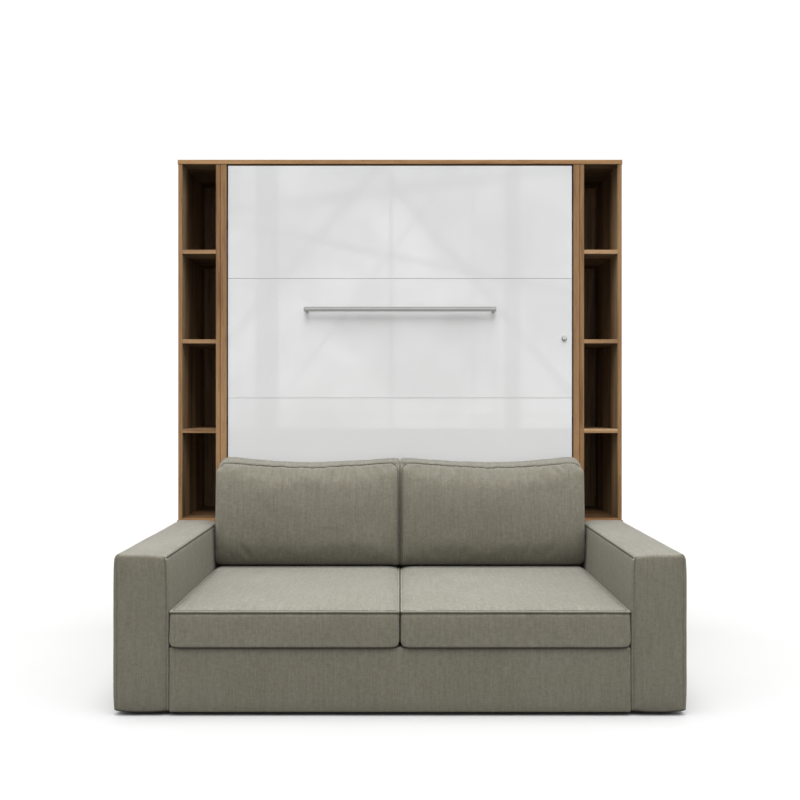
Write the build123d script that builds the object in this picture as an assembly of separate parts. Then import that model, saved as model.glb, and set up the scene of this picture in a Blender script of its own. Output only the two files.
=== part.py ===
from build123d import *
import os
from math import sqrt

os.makedirs("parts", exist_ok=True)

# Upright wall bed between two narrow bookcases, with a two-seat sofa in front.
# Millimetres. X to the right, Y into the depth (front faces -Y), Z up.
# Origin: centre of the floor rectangle under the whole object.
# Depths "d" below are measured from the cabinet's front plane, backwards.

# ---- overall --------------------------------------------------------------
TOTAL_W = 2000.0          # cabinet and sofa width
CAB_DEPTH = 465.0         # bed cabinet and bookcases
SOFA_DEPTH = 900.0        # sofa, in front of the cabinet
Y0 = (SOFA_DEPTH + CAB_DEPTH) / 2 - CAB_DEPTH   # cabinet front plane
HALF = TOTAL_W / 2

# ---- top board and bookcases ----------------------------------------------
TOP_Z0, TOP_Z1 = 2168.0, 2188.0
TOP_OVER = 2.0
OUT_X0, OUT_X1 = 981.0, 1000.0       # bookcase outer side
IN_X0, IN_X1 = 811.0, 830.0          # bookcase inner side
BACK_D0, BACK_D1 = 451.0, 457.0      # thin back
SHELVES = [(1764.0, 1782.0), (1360.0, 1378.0), (956.0, 974.0)]
BASE_Z0, BASE_Z1 = 556.0, 573.0
LIP_X, LIP_D = 1004.0, 4.0           # thin ledge along the front of the base board
LIP_Z0, LIP_Z1 = 557.0, 563.5
EDGE_R = 2.0                         # rounded front edges of the boards

# ---- bed cabinet -----------------------------------------------------------
SIDE_X0, SIDE_X1 = 781.5, 809.5
RAIL_D0 = 445.0                      # wall rails at the back
WALL_X = 600.0                       # wall bolts, half spacing across
WALL_Z_LO, WALL_Z_HI = 80.0, 2118.0
WALL_HOLE_R = 4.5
PLINTH_TOP = 98.0

# ---- tilting bed -----------------------------------------------------------
PIVOT_D, PIVOT_Z = 70.0, 500.0
PANEL_X = 775.0
PANEL_T = 20.0
PANEL_Z0, PANEL_Z1 = 118.0, 2161.0
SEAMS = [575.5, 1114.0, 1652.6]
SEAM_GAP = 1.2
FRAME_X0, FRAME_X1 = 700.0, 725.0    # bed side rails
FRAME_Z0, FRAME_Z1 = 131.0, 2156.0
MATT_X = 699.0
MATT_D0, MATT_D1 = 72.0, 222.0
MATT_Z0, MATT_Z1 = 149.5, 2149.5
PIN_R = 10.0
BUSH_R = 16.0
RUN = 0.05                           # radial running clearance

# ---- handle and lock -------------------------------------------------------
HANDLE_X = 430.0
HANDLE_Z0, HANDLE_Z1 = 1500.5, 1522.5
HANDLE_D0, HANDLE_D1 = -38.0, -24.0
LOCK_X, LOCK_Z = 740.0, 1382.6

# ---- support legs ----------------------------------------------------------
LEG_D, LEG_Z = 130.0, 2101.0         # leg hinge
LEG_X0, LEG_X1 = 737.0, 761.0
LEG_STORE_D = 45.0
LEG_LEN = 559.0
LEG_PIN_R = 6.0

# ---- gas springs -----------------------------------------------------------
GAS_X = 757.0
ANCHOR_D, ANCHOR_Z = 250.0, 900.0
ATTACH_D, ATTACH_Z = 70.0, 420.0
GAS_TUBE_R, GAS_ROD_R = 11.0, 5.0

# ---- sofa ------------------------------------------------------------------
ARM_X0, ARM_X1 = 808.0, 1000.0
ARM_Z0, ARM_Z1 = 10.0, 559.0
ARM_BACK = -5.0
SKIRT_SET = 8.0
SEAT_Z0 = 240.0
SEAT_X0, SEAT_X1 = 1.5, 804.5
BACKC_X0, BACKC_X1 = 2.0, 802.0
BACKC_D0, BACKC_D1 = -172.0, -4.0
BACKC_Z0, BACKC_Z1 = 384.5, 843.5
FOOT_R = 22.0


def slab(x0, x1, d0, d1, z0, z1, r=0.0):
    """A board between two corners; d is depth behind the cabinet's front plane."""
    b = Box(abs(x1 - x0), abs(d1 - d0), abs(z1 - z0))
    if r > 0:
        b = fillet(b.edges(), r)
    return Pos((x0 + x1) / 2, Y0 + (d0 + d1) / 2, (z0 + z1) / 2) * b


def board(x0, x1, d0, d1, z0, z1, along, r=EDGE_R):
    """A board whose two long front edges are rounded; along is the axis they run on."""
    b = Box(abs(x1 - x0), abs(d1 - d0), abs(z1 - z0))
    b = fillet(b.edges().filter_by(along).group_by(Axis.Y)[0], r)
    return Pos((x0 + x1) / 2, Y0 + (d0 + d1) / 2, (z0 + z1) / 2) * b


def cyl_x(x0, x1, d, z, r):
    """A round bar along X."""
    return Plane(origin=(min(x0, x1), Y0 + d, z), z_dir=(1, 0, 0)) * Cylinder(
        r, abs(x1 - x0), align=(Align.CENTER, Align.CENTER, Align.MIN))


def cyl_y(x, d0, d1, z, r):
    """A round bar along Y."""
    return Plane(origin=(x, Y0 + min(d0, d1), z), z_dir=(0, 1, 0)) * Cylinder(
        r, abs(d1 - d0), align=(Align.CENTER, Align.CENTER, Align.MIN))


def cyl_z(x, d, z0, z1, r):
    """A round bar along Z."""
    return Pos(x, Y0 + d, (z0 + z1) / 2) * Cylinder(r, z1 - z0)


def other(shape):
    """The same piece on the other side."""
    return mirror(shape, about=Plane.YZ)


def profile_x(points, x0, x1):
    """A solid with a side profile (d, z), extruded across X."""
    pts = [(Y0 + d, z) for d, z in points]
    face = Plane(origin=(x0, 0, 0), x_dir=(0, 1, 0), z_dir=(1, 0, 0)) * make_face(Polyline(*pts, close=True))
    return extrude(face, amount=x1 - x0)


def group(*shapes):
    """Separate solids in one node."""
    solids = []
    for s in shapes:
        solids += s.solids()
    return Compound(children=[Solid(x.wrapped) for x in solids])


nodes = {}

# ---- top board and bookcases (right hand side is +X) -----------------------
top = slab(-HALF - TOP_OVER, HALF + TOP_OVER, -TOP_OVER, CAB_DEPTH, TOP_Z0, TOP_Z1)
top = fillet(top.edges().group_by(Axis.Y)[0], 1.5)
nodes["top_board"] = top

outer = board(OUT_X0, OUT_X1, 0, CAB_DEPTH, 0, TOP_Z0, Axis.Z)
inner = board(IN_X0, IN_X1, 0, CAB_DEPTH, 0, TOP_Z0, Axis.Z)
nodes["bookcase_right_outer_side"] = outer
nodes["bookcase_left_outer_side"] = other(outer)
nodes["bookcase_right_inner_side"] = inner
nodes["bookcase_left_inner_side"] = other(inner)

back = slab(IN_X1, OUT_X0, BACK_D0, BACK_D1, 10, TOP_Z0)
nodes["bookcase_backs"] = group(back, other(back))

shelf_list = []
for z0, z1 in SHELVES:
    s = board(IN_X1, OUT_X0, 1, BACK_D0, z0, z1, Axis.X, 1.5)
    shelf_list += [s, other(s)]
nodes["bookcase_shelves"] = group(*shelf_list)

base = slab(IN_X1, OUT_X0, 0, BACK_D0, BASE_Z0, BASE_Z1)
lip = slab(IN_X0 + 2, LIP_X, -LIP_D, 0, LIP_Z0, LIP_Z1)
base = (base + lip).solids()[0]
nodes["bookcase_base_boards"] = group(base, other(base))

low = slab(IN_X1, OUT_X0, 4, 20, 40, BASE_Z0)
nodes["bookcase_lower_fronts"] = group(low, other(low))

# ---- bed cabinet -----------------------------------------------------------
side = board(SIDE_X0, SIDE_X1, 0, CAB_DEPTH, 0, TOP_Z0, Axis.Z)
nodes["bed_cabinet_right_side"] = side
nodes["bed_cabinet_left_side"] = other(side)

upper = slab(-SIDE_X0, SIDE_X0, RAIL_D0, CAB_DEPTH, TOP_Z0 - 100, TOP_Z0)
lower = slab(-SIDE_X0, SIDE_X0, RAIL_D0, CAB_DEPTH, 30, 130)
for sx in (-1, 1):
    upper -= cyl_y(sx * WALL_X, RAIL_D0 - 5, CAB_DEPTH + 5, WALL_Z_HI, WALL_HOLE_R)
    lower -= cyl_y(sx * WALL_X, RAIL_D0 - 5, CAB_DEPTH + 5, WALL_Z_LO, WALL_HOLE_R)
nodes["upper_wall_rail"] = upper
nodes["lower_wall_rail"] = lower
nodes["cabinet_plinth"] = slab(-SIDE_X0, SIDE_X0, 8, 26, 0, PLINTH_TOP, 0.6)

pp = slab(SIDE_X0 - 5, SIDE_X0, PIVOT_D - 50, PIVOT_D + 80, PIVOT_Z - 90, PIVOT_Z + 90)
pp = fillet(pp.edges().filter_by(Axis.X), 14)
nodes["pivot_plates"] = group(pp, other(pp))
pin = cyl_x(FRAME_X1 + 1, SIDE_X0 - 5, PIVOT_D, PIVOT_Z, PIN_R)
nodes["pivot_pins"] = group(pin, other(pin))

anchor = slab(SIDE_X0 - 4, SIDE_X0, ANCHOR_D - 22, ANCHOR_D + 22, ANCHOR_Z - 32, ANCHOR_Z + 32)
anchor = fillet(anchor.edges().filter_by(Axis.X), 8)
anchor = anchor + cyl_x(GAS_X - 10, SIDE_X0 - 4, ANCHOR_D, ANCHOR_Z, 5)
nodes["gas_spring_anchors"] = group(anchor, other(anchor))

strike = slab(765, SIDE_X0, 22, 25, LOCK_Z - 25, LOCK_Z + 25) + slab(
    SIDE_X0 - 2, SIDE_X0, 22, 58, LOCK_Z - 25, LOCK_Z + 25)
nodes["lock_strike"] = strike

buf = []
for z in (1010.0, 1900.0):
    b = slab(766, SIDE_X0, PANEL_T + 0.3, PANEL_T + 16, z - 18, z + 18, 2)
    buf += [b, other(b)]
nodes["closing_buffers"] = group(*buf)

# ---- sofa: fixed parts -----------------------------------------------------
arm = slab(ARM_X0, ARM_X1, -SOFA_DEPTH, ARM_BACK, ARM_Z0, ARM_Z1)
arm = fillet(arm.edges().filter_by(Axis.Y).group_by(Axis.Z)[-1], 10)
arm = fillet(arm.edges().group_by(Axis.Y)[0], 8)
# two frame boards stand inside the padding of each arm
arm_boards = [
    slab(ARM_X0 + 25, ARM_X0 + 43, -SOFA_DEPTH + 25, ARM_BACK - 25, ARM_Z0 + 8, ARM_Z1 - 25),
    slab(ARM_X1 - 43, ARM_X1 - 25, -SOFA_DEPTH + 25, ARM_BACK - 25, ARM_Z0 + 8, ARM_Z1 - 25),
]
for b in arm_boards:
    arm = arm - b
nodes["arm_right_cover"] = arm
nodes["arm_left_cover"] = other(arm)
nodes["arm_frames"] = group(*arm_boards, *[other(b) for b in arm_boards])

fd = -SOFA_DEPTH + SKIRT_SET
nodes["front_skirt"] = slab(-ARM_X0, ARM_X0, fd, fd + 20, 13, SEAT_Z0 - 1.5, 3)
nodes["front_rail"] = slab(-ARM_X0, ARM_X0, fd + 20, fd + 52, 70, 236)
nodes["rear_rail"] = slab(-ARM_X0, ARM_X0, -52, -20, 70, 236)
web = []
for i in range(10):
    cx = -720 + i * 160
    web.append(slab(cx - 35, cx + 35, fd + 22, -22, 236, 239))
nodes["seat_webbing"] = group(*web)
feet = []
for fx in (-950.0, -870.0, 870.0, 950.0):
    for d in (-800.0, -90.0):
        feet.append(cyl_z(fx, d, 0, ARM_Z0, FOOT_R))
nodes["sofa_feet"] = group(*feet)

# ---- sofa: loose cushions --------------------------------------------------
seat_pts = [(-SOFA_DEPTH, SEAT_Z0), (-SOFA_DEPTH, 364), (-SOFA_DEPTH + 12, 370), (-700, 377), (-420, 383),
            (-6, 383), (-6, SEAT_Z0)]
seat = profile_x(seat_pts, SEAT_X0, SEAT_X1)
seat = fillet(seat.edges().filter_by(Axis.Z).group_by(Axis.Y)[0], 10)
nodes["right_seat_cushion"] = seat
nodes["left_seat_cushion"] = other(seat)

bc = slab(BACKC_X0, BACKC_X1, BACKC_D0, BACKC_D1, BACKC_Z0, BACKC_Z1, 26)
nodes["right_back_cushion"] = bc
nodes["left_back_cushion"] = other(bc)

# ---- tilting bed: front ----------------------------------------------------
cuts = [PANEL_Z1] + list(reversed(SEAMS)) + [PANEL_Z0]
names = ["front_board_1", "front_board_2", "front_board_3", "front_board_4"]
for i, name in enumerate(names):
    z1 = cuts[i] - (SEAM_GAP / 2 if i > 0 else 0)
    z0 = cuts[i + 1] + (SEAM_GAP / 2 if i < 3 else 0)
    b = slab(-PANEL_X, PANEL_X, 0, PANEL_T, z0, z1, 0.6)
    if z0 < LOCK_Z < z1:
        b = b - cyl_y(LOCK_X, -5, PANEL_T + 5, LOCK_Z, 4 + RUN)
    nodes[name] = b

# ---- tilting bed: frame ----------------------------------------------------
rail = slab(FRAME_X0, FRAME_X1, PANEL_T, PIVOT_D, FRAME_Z0, FRAME_Z1)
nodes["bed_side_rails"] = group(rail, other(rail))
nodes["bed_foot_rail"] = slab(-FRAME_X0, FRAME_X0, PANEL_T, 178, FRAME_Z0, FRAME_Z0 + 18)
nodes["bed_head_rail"] = slab(-FRAME_X0, FRAME_X0, PANEL_T, PIVOT_D - 2, FRAME_Z1 - 25, FRAME_Z1)
nodes["bed_centre_beam"] = slab(-22, 22, PANEL_T, 60, FRAME_Z0 + 18, FRAME_Z1 - 25)
slats = []
n_slats = 17
for i in range(n_slats):
    z = 210 + i * (2070 - 210) / (n_slats - 1)
    slats.append(slab(-FRAME_X0, FRAME_X0, 60, 68, z - 34, z + 34))
nodes["bed_slats"] = group(*slats)
nodes["mattress"] = slab(-MATT_X, MATT_X, MATT_D0, MATT_D1, MATT_Z0, MATT_Z1, 22)

straps = []
for z in (760.0, 1620.0):
    st = slab(-MATT_X - 3.5, MATT_X + 3.5, PIVOT_D, MATT_D1 + 3, z - 25, z + 25)
    st = st - slab(-MATT_X - 1, MATT_X + 1, PIVOT_D - 5, MATT_D1 + 0.8, z - 30, z + 30)
    straps.append(st)
nodes["mattress_straps"] = group(*straps)

pb = slab(FRAME_X1, FRAME_X1 + 6, 24, 104, ATTACH_Z - 22, PIVOT_Z + 110)
pb = fillet(pb.edges().filter_by(Axis.X), 10)
pb = pb - cyl_x(FRAME_X1 - 5, FRAME_X1 + 11, PIVOT_D, PIVOT_Z, BUSH_R)
nodes["pivot_brackets"] = group(pb, other(pb))
bush = cyl_x(FRAME_X1, FRAME_X1 + 9, PIVOT_D, PIVOT_Z, BUSH_R) + cyl_x(
    FRAME_X1 + 6, FRAME_X1 + 9, PIVOT_D, PIVOT_Z, BUSH_R + 4)
bush = bush - cyl_x(FRAME_X1 - 5, FRAME_X1 + 14, PIVOT_D, PIVOT_Z, PIN_R + RUN)
nodes["pivot_bushes"] = group(bush, other(bush))

lb = slab(FRAME_X1, FRAME_X1 + 6, 26, LEG_D + 18, LEG_Z - 24, LEG_Z + 24)
lb = fillet(lb.edges().filter_by(Axis.X), 10)
lb = lb + cyl_x(FRAME_X1 + 6, LEG_X1 + 2, LEG_D, LEG_Z, LEG_PIN_R)
nodes["leg_brackets"] = group(lb, other(lb))

# ---- handle ----------------------------------------------------------------
# a drawn bar: flat upper band, a sloping ridge, and a lower band that leans back
hb_pts = [(HANDLE_D1, HANDLE_Z0 + 1.5), (HANDLE_D1, HANDLE_Z1 - 1.0), (HANDLE_D0 + 4.0, HANDLE_Z1),
          (HANDLE_D0 + 2.8, HANDLE_Z1 - 1.4), (HANDLE_D0 + 2.8, HANDLE_Z0 + 13.2), (HANDLE_D0, HANDLE_Z0 + 10.4),
          (HANDLE_D0 + 0.2, HANDLE_Z0 + 9.6), (HANDLE_D0 + 3.4, HANDLE_Z0)]
hb = profile_x(hb_pts, -HANDLE_X, HANDLE_X)
nodes["handle_bar"] = hb
post = slab(HANDLE_X - 19, HANDLE_X - 3, HANDLE_D1, 0, HANDLE_Z0 + 1.5, HANDLE_Z1 - 3)
post = fillet(post.edges().filter_by(Axis.Y), 4)
nodes["handle_posts"] = group(post, other(post))

# ---- lock ------------------------------------------------------------------
esc = cyl_y(LOCK_X, -4, 0, LOCK_Z, 11.5)
esc = fillet(esc.edges().group_by(Axis.Y)[0], 1.5)
esc = esc - cyl_y(LOCK_X, -6, 2, LOCK_Z, 8.3)
nodes["lock_escutcheon"] = esc
knob = cyl_y(LOCK_X, -9, -0.5, LOCK_Z, 8.0)
knob = fillet(knob.edges().group_by(Axis.Y)[0], 2.5)
knob = knob - slab(LOCK_X - 1.0, LOCK_X + 1.0, -12, -7.2, LOCK_Z - 4.5, LOCK_Z + 4.5)
knob = knob + cyl_y(LOCK_X, -0.5, 33, LOCK_Z, 4.0)
nodes["lock_knob"] = knob
cam = slab(LOCK_X - 7, LOCK_X + 7, 27, 31, LOCK_Z - 38, LOCK_Z + 9)
cam = fillet(cam.edges().filter_by(Axis.Y), 6)
cam = cam - cyl_y(LOCK_X, 25, 33, LOCK_Z, 4.0)
nodes["lock_cam"] = cam

# ---- support legs ----------------------------------------------------------
leg_low = LEG_Z - LEG_LEN
leg = slab(LEG_X0, LEG_X1, LEG_STORE_D - 12, LEG_D + 12, LEG_Z - 12, LEG_Z + 12) + slab(
    LEG_X0, LEG_X1, LEG_STORE_D - 12, LEG_STORE_D + 12, leg_low + 20, LEG_Z + 12)
leg = fillet(leg.edges().filter_by(Axis.X), 5)
leg = leg - cyl_x(LEG_X0 - 5, LEG_X1 + 5, LEG_D, LEG_Z, LEG_PIN_R + RUN)
nodes["right_support_leg"] = leg
nodes["left_support_leg"] = other(leg)
lf = cyl_z((LEG_X0 + LEG_X1) / 2, LEG_STORE_D, leg_low, leg_low + 20, 15)
lf = fillet(lf.edges(), 2)
nodes["right_leg_foot"] = lf
nodes["left_leg_foot"] = other(lf)

# ---- gas springs -----------------------------------------------------------
gv = (0.0, ATTACH_D - ANCHOR_D, ATTACH_Z - ANCHOR_Z)
glen = sqrt(gv[1] ** 2 + gv[2] ** 2)
gdir = (0.0, gv[1] / glen, gv[2] / glen)


def along(x, start, length, r):
    """A round bar on the spring's line, start measured from the anchor."""
    o = (x, Y0 + ANCHOR_D + gdir[1] * start, ANCHOR_Z + gdir[2] * start)
    return Plane(origin=o, z_dir=gdir) * Cylinder(r, length, align=(Align.CENTER, Align.CENTER, Align.MIN))


tube = along(GAS_X, 14, 296, GAS_TUBE_R)
tube = tube + along(GAS_X, 4, 14, 6.5) + cyl_x(GAS_X - 8, GAS_X + 8, ANCHOR_D, ANCHOR_Z, 12)
tube = tube - along(GAS_X, 60, 260, GAS_ROD_R + RUN)
tube = tube - cyl_x(GAS_X - 20, GAS_X + 20, ANCHOR_D, ANCHOR_Z, 5 + RUN)
nodes["right_gas_cylinder"] = tube
nodes["left_gas_cylinder"] = other(tube)
rod = along(GAS_X, 250, glen - 250, GAS_ROD_R)
rod = rod + cyl_x(GAS_X - 7, GAS_X + 7, ATTACH_D, ATTACH_Z, 10)
rod = rod + cyl_x(FRAME_X1 + 6.3, GAS_X, ATTACH_D, ATTACH_Z, 4)
nodes["right_gas_rod"] = rod
nodes["left_gas_rod"] = other(rod)

# ---- write -----------------------------------------------------------------
for name, shape in nodes.items():
    export_step(shape, "parts/" + name + ".step")
print(len(nodes), "nodes; spring length", round(glen, 3))
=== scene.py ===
import bpy
import math
import numpy as np
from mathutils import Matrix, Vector, noise


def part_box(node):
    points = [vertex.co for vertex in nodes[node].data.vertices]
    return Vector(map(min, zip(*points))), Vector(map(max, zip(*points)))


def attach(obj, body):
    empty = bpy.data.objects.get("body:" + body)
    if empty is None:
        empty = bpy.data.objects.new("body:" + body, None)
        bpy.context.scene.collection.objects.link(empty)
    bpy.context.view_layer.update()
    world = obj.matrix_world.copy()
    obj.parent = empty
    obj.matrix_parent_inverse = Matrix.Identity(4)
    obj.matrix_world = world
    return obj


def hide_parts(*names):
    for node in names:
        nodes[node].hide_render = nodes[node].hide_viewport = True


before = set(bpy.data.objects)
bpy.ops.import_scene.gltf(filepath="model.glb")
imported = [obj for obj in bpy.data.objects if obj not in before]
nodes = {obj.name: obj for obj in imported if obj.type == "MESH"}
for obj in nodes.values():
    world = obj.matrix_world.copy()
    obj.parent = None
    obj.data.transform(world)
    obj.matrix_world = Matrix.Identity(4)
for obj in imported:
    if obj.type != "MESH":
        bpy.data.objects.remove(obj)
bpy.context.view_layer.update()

Y0 = 0.2175            # front plane of the cabinet
scene = bpy.context.scene

# ---------------------------------------------------------------------------
# camera, floor and light
# ---------------------------------------------------------------------------
cam_data = bpy.data.cameras.new("camera")
cam_data.sensor_width = 36.0
cam_data.sensor_fit = "HORIZONTAL"
cam_data.lens = 39.85
cam_data.clip_end = 60.0
cam = bpy.data.objects.new("camera", cam_data)
cam.location = (0.0, Y0 - 3.991, 1.105)
cam.rotation_euler = (math.radians(90.0), 0.0, 0.0)
scene.collection.objects.link(cam)
scene.camera = cam
scene.view_settings.view_transform = "Standard"
scene.view_settings.look = "None"


def add_mesh(name, verts, faces, mat=None, smooth=True):
    me = bpy.data.meshes.new(name)
    me.from_pydata([tuple(map(float, v)) for v in verts], [], [tuple(map(int, f)) for f in faces])
    me.validate()
    me.update()
    ob = bpy.data.objects.new(name, me)
    scene.collection.objects.link(ob)
    if mat is not None:
        me.materials.append(mat)
    if smooth:
        me.polygons.foreach_set("use_smooth", [True] * len(me.polygons))
    return ob


# ---------------------------------------------------------------------------
# node helpers
# ---------------------------------------------------------------------------
class Graph:
    def __init__(self, name):
        self.mat = bpy.data.materials.new(name)
        self.mat.use_nodes = True
        self.t = self.mat.node_tree
        self.t.nodes.clear()
        self.out = self.n("ShaderNodeOutputMaterial")
        self.bsdf = self.n("ShaderNodeBsdfPrincipled")
        self.link(self.bsdf.outputs[0], self.out.inputs["Surface"])
        self.coord = self.n("ShaderNodeTexCoord")

    def n(self, kind, **values):
        node = self.t.nodes.new(kind)
        for k, v in values.items():
            setattr(node, k, v)
        return node

    def link(self, a, b):
        self.t.links.new(a, b)

    def set(self, socket, value):
        self.bsdf.inputs[socket].default_value = value

    def mapped(self, scale=(1, 1, 1), rot=(0, 0, 0), loc=(0, 0, 0), source=None):
        m = self.n("ShaderNodeMapping")
        m.inputs["Scale"].default_value = scale
        m.inputs["Rotation"].default_value = rot
        m.inputs["Location"].default_value = loc
        self.link(source or self.coord.outputs["Object"], m.inputs["Vector"])
        return m.outputs["Vector"]

    def noise(self, vec, scale=1.0, detail=4.0, rough=0.55, distortion=0.0):
        k = self.n("ShaderNodeTexNoise")
        k.inputs["Scale"].default_value = scale
        k.inputs["Detail"].default_value = detail
        k.inputs["Roughness"].default_value = rough
        k.inputs["Distortion"].default_value = distortion
        self.link(vec, k.inputs["Vector"])
        return k.outputs["Fac"]

    def ramp(self, fac, stops, interp="LINEAR"):
        r = self.n("ShaderNodeValToRGB")
        r.color_ramp.interpolation = interp
        e = r.color_ramp.elements
        while len(e) < len(stops):
            e.new(0.5)
        for el, (pos, col) in zip(e, stops):
            el.position = pos
            el.color = tuple(col) + (1.0,) if len(col) == 3 else col
        self.link(fac, r.inputs["Fac"])
        return r.outputs["Color"]

    def math(self, op, a, b=None, c=None, clamp=False):
        m = self.n("ShaderNodeMath", operation=op)
        m.use_clamp = clamp
        for i, v in enumerate((a, b, c)):
            if v is None:
                continue
            if isinstance(v, (int, float)):
                m.inputs[i].default_value = v
            else:
                self.link(v, m.inputs[i])
        return m.outputs[0]

    def mix(self, fac, a, b, blend="MIX"):
        m = self.n("ShaderNodeMix", data_type="RGBA", blend_type=blend)
        for i, v in ((0, fac), (6, a), (7, b)):
            if isinstance(v, (int, float)):
                m.inputs[i].default_value = v
            elif isinstance(v, tuple):
                m.inputs[i].default_value = v + (1.0,) if len(v) == 3 else v
            else:
                self.link(v, m.inputs[i])
        return m.outputs[2]

    def smooth(self, value, lo, hi, out_lo=0.0, out_hi=1.0):
        m = self.n("ShaderNodeMapRange", interpolation_type="SMOOTHSTEP")
        self.link(value, m.inputs["Value"])
        m.inputs["From Min"].default_value = lo
        m.inputs["From Max"].default_value = hi
        m.inputs["To Min"].default_value = out_lo
        m.inputs["To Max"].default_value = out_hi
        return m.outputs["Result"]

    def xyz(self, source=None):
        s = self.n("ShaderNodeSeparateXYZ")
        self.link(source or self.coord.outputs["Object"], s.inputs[0])
        return s.outputs[0], s.outputs[1], s.outputs[2]

    def bump(self, height, strength=0.3, distance=0.001, normal=None):
        b = self.n("ShaderNodeBump")
        b.inputs["Strength"].default_value = strength
        b.inputs["Distance"].default_value = distance
        self.link(height, b.inputs["Height"])
        if normal is not None:
            self.link(normal, b.inputs["Normal"])
        return b.outputs["Normal"]

    def color(self, socket):
        self.link(socket, self.bsdf.inputs["Base Color"])

    def normal(self, socket):
        self.link(socket, self.bsdf.inputs["Normal"])


# ---------------------------------------------------------------------------
# materials
# ---------------------------------------------------------------------------
# painted shade: colour factors for the faces inside the bookcases, at the front and at the back
PAINTED_SHADE_NEAR = (0.92, 1.10, 1.26)
PAINTED_SHADE_FAR = (1.08, 1.18, 1.30)


def oak(name, grain, tone=(1.0, 1.0, 1.0), inner=1.0, tint=(1.0, 1.0, 1.0)):
    """Oak veneer, grain along the axis given. The faces inside the bookcases are darkened and tinted, changing from
    front to back: painted shade of the bookcase insides.
    """
    g = Graph(name)
    along, across = 1.6, 30.0
    sc = {"X": (along, across, across), "Y": (across, along, across), "Z": (across, across, along)}[grain]
    v = g.mapped(sc)
    broad = g.noise(g.mapped(tuple(s * 0.34 for s in sc), loc=(3.1, 1.7, 0.4)), 1.0, 3.0, 0.5, 0.6)
    fibre = g.noise(v, 2.2, 8.0, 0.72, 0.35)
    fine = g.noise(g.mapped(tuple(s * 6.0 for s in sc)), 2.0, 4.0, 0.7)
    streak = g.noise(g.mapped(tuple(s * 1.5 for s in sc), loc=(0.7, 5.1, 2.4)), 1.0, 2.0, 0.5, 0.3)
    mixv = g.math("MULTIPLY_ADD", broad, 0.55, g.math("MULTIPLY", fibre, 0.45))
    light = tuple(t * c for t, c in zip(tone, (0.318, 0.194, 0.100)))
    mid = tuple(t * c for t, c in zip(tone, (0.244, 0.142, 0.069)))
    deep = tuple(t * c for t, c in zip(tone, (0.140, 0.076, 0.034)))
    col = g.ramp(mixv, [(0.36, deep), (0.47, mid), (0.60, light)])
    pores = g.ramp(fine, [(0.30, (0.58, 0.54, 0.50)), (0.47, (1.0, 1.0, 1.0))])
    col = g.mix(0.75, col, pores, "MULTIPLY")
    dark = g.ramp(streak, [(0.34, (0.66, 0.62, 0.58)), (0.46, (1.0, 1.0, 1.0))])
    col = g.mix(0.8, col, dark, "MULTIPLY")
    x, y, z = g.xyz()
    ax = g.math("ABSOLUTE", x)
    # mask of the faces inside the bookcases, which get the painted shade
    inside = g.math("MULTIPLY", g.smooth(ax, 0.8285, 0.8295), g.smooth(ax, 0.9815, 0.9825, 1.0, 0.0))
    deep_in = g.smooth(y, Y0 + 0.0018, Y0 + 0.0035)
    low = g.smooth(z, 2.1685, 2.1700, 1.0, 0.0)
    inside = g.math("MULTIPLY", inside, g.math("MULTIPLY", deep_in, low))
    # painted shade: darkened by inner and tinted from front to back inside the bookcases
    near = tuple(inner * c * w / t for t, c, w in zip(tone, PAINTED_SHADE_NEAR, tint))
    far = tuple(inner * c * w / t for t, c, w in zip(tone, PAINTED_SHADE_FAR, tint))
    painted_shade_factor = g.mix(g.smooth(y, Y0 - 0.01, Y0 + 0.13), near, far)
    band = g.ramp(broad, [(0.38, (0.80, 0.78, 0.76)), (0.60, (1.22, 1.22, 1.22))])
    painted_shade_factor = g.mix(1.0, painted_shade_factor, band, "MULTIPLY")
    painted_shade_col = g.mix(1.0, col, painted_shade_factor, "MULTIPLY")
    col = g.mix(inside, col, painted_shade_col)
    g.color(col)
    g.set("Roughness", 0.55)
    g.set("Specular IOR Level", 0.3)
    h = g.math("ADD", g.math("MULTIPLY", fine, 0.6), g.math("MULTIPLY", fibre, 0.8))
    g.normal(g.bump(h, 0.22, 0.0006))
    return g.mat


def gloss_white():
    g = Graph("white_gloss_lacquer")
    x, y, z = g.xyz()
    n = g.noise(g.mapped((1.0, 1.0, 1.0)), 2.0, 2.0, 0.5)
    col = g.ramp(n, [(0.3, (0.600, 0.602, 0.603)), (0.7, (0.613, 0.615, 0.616))])
    # painted reflection: a bluish strip on the front face along each side edge
    edge = g.smooth(g.math("ABSOLUTE", x), 0.7640, 0.7665)
    col = g.mix(edge, col, (0.564, 0.586, 0.614))
    # painted shade: the panel's side, top and bottom edges are dark brown like the shaded gaps round it
    rim = g.smooth(g.math("ABSOLUTE", x), 0.7742, 0.7746)
    rim = g.math("MAXIMUM", rim, g.math("MAXIMUM", g.smooth(z, 2.1602, 2.1606), g.smooth(z, 0.1184, 0.1188, 1.0, 0.0)))
    col = g.mix(rim, col, (0.060, 0.042, 0.028))
    g.color(col)
    g.set("Roughness", 0.03)
    g.set("Specular IOR Level", 0.8)
    g.set("Coat Weight", 1.0)
    g.set("Coat Roughness", 0.01)
    g.set("Coat IOR", 1.6)
    wav = g.noise(g.mapped((1, 1, 1)), 6.0, 2.0, 0.5)
    g.normal(g.bump(wav, 0.02, 0.0008))
    return g.mat


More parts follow.
